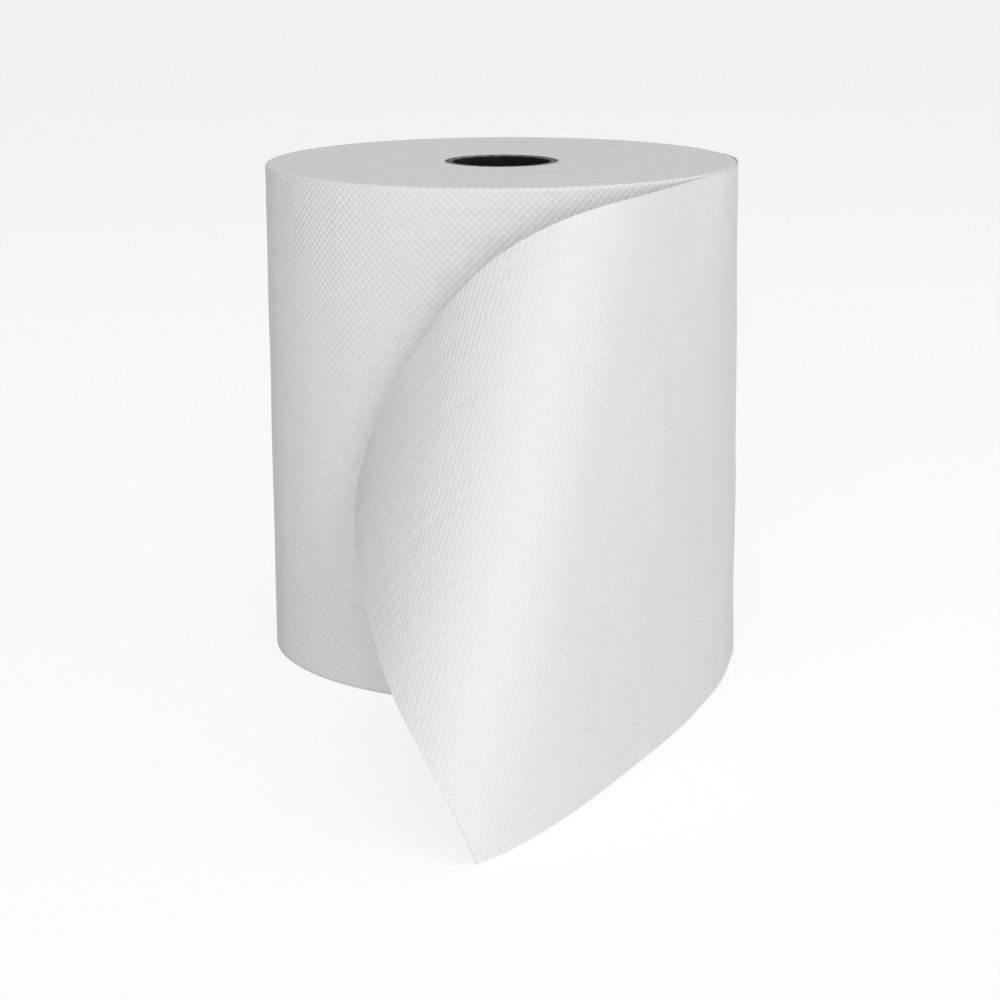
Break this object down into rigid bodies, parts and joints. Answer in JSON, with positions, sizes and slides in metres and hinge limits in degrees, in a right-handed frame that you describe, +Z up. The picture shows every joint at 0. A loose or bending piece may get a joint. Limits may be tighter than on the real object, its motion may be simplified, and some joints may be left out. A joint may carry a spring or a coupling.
{
  "type": "paper towel roll",
  "caption": "Roll of embossed paper towel on a cardboard core, standing on its end, with the loose end of its sheet peeled away and drooping in front.",
  "frame": {"origin": "on the roll's axis, in the plane of the end that it stands on", "axes": "+Z up along the core's axis; the loose tail leaves the roll on its +X side and comes forward towards -Y"},
  "size_m": [0.1916, 0.3618, 0.2],
  "materials": {
    "towel_paper": "matte, embossed with a fine diagonal dot pattern",
    "core_board": "matte grey board, wound in a spiral"
  },
  "bodies": {
    "root": {"towel_sheet": "towel_paper", "core": "core_board"}
  },
  "joints": []
}
